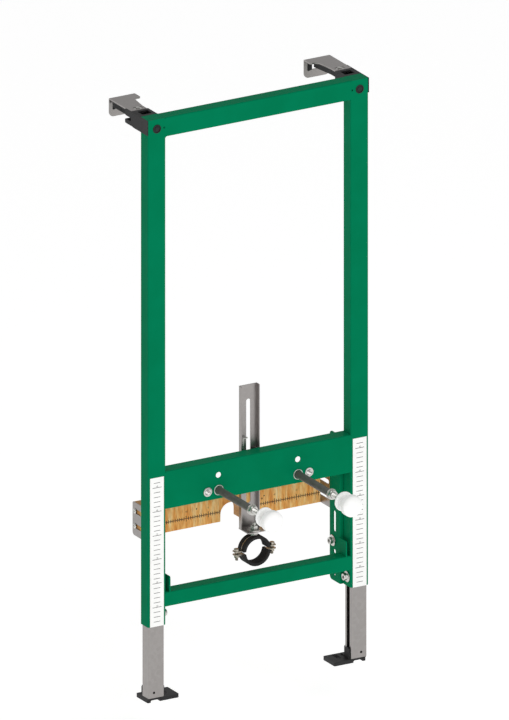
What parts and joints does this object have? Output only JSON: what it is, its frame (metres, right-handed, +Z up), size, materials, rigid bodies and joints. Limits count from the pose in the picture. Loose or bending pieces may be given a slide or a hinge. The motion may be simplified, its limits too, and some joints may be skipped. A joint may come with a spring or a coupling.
{
  "type": "wall mounting frame for a bidet",
  "caption": "Steel frame bolted to a wall, with telescopic legs, wall brackets, long studs, a tap board and a height adjustable waste pipe clamp.",
  "frame": {"origin": "on the rear face of the left wall bracket's flange, in the middle across, between its lower edge and its slot", "axes": "+X to the right along the wall, +Y into the wall, +Z up"},
  "size_m": [0.503, 0.38, 1.2217],
  "materials": {
    "green_paint": "satin powder coat",
    "galvanised": "galvanised sheet",
    "zinc_plate": "bright zinc plate",
    "black_plastic": "moulded, fine grain",
    "white_plastic": "moulded, smooth",
    "plywood": "varnished plywood",
    "epdm_rubber": "ribbed",
    "strip_film": "printed film",
    "grey_sleeve": "extruded"
  },
  "bodies": {
    "frame": {"left_post": "green_paint", "right_post": "green_paint", "top_bar": "green_paint", "bottom_bar": "green_paint", "front_panel": "green_paint", "left_side_rail": "green_paint", "right_side_rail": "green_paint", "carrier_guide": "zinc_plate", "leg_screws": "zinc_plate", "rail_screws": "zinc_plate", "left_wall_bracket": "galvanised", "right_wall_bracket": "galvanised", "left_bracket_slide": "black_plastic", "right_bracket_slide": "black_plastic", "bracket_pins": "zinc_plate", "left_bracket_holder": "black_plastic", "right_bracket_holder": "black_plastic", "corner_plugs": "black_plastic", "ruler_strips": "strip_film", "tap_board": "plywood", "left_board_bracket": "galvanised", "right_board_bracket": "galvanised", "board_screws": "zinc_plate", "left_stud": "zinc_plate", "right_stud": "zinc_plate", "left_stud_sleeve": "grey_sleeve", "right_stud_sleeve": "grey_sleeve", "left_stud_nut": "zinc_plate", "right_stud_nut": "zinc_plate", "left_stud_disc": "white_plastic", "right_stud_disc": "white_plastic", "left_stud_cap": "white_plastic", "right_stud_cap": "white_plastic", "insert_nuts": "zinc_plate", "carrier_bolt": "zinc_plate"},
    "left_leg": {"left_leg": "galvanised", "left_foot": "black_plastic"},
    "right_leg": {"right_leg": "galvanised", "right_foot": "black_plastic"},
    "carrier": {"waste_carrier": "galvanised", "clamp_hanger": "zinc_plate", "clamp_upper": "zinc_plate", "clamp_lower": "zinc_plate", "clamp_rubber": "epdm_rubber", "clamp_bolts": "zinc_plate"}
  },
  "joints": [
    {"name": "left_leg_slide", "type": "slide", "parent": "frame", "child": "left_leg", "axis": [0, 0, -1], "range_m": [-0.1, 0.1]},
    {"name": "right_leg_slide", "type": "slide", "parent": "frame", "child": "right_leg", "axis": [0, 0, -1], "range_m": [-0.1, 0.1]},
    {"name": "carrier_slide", "type": "slide", "parent": "frame", "child": "carrier", "axis": [0, 0, 1], "range_m": [0, 0.065]}
  ]
}
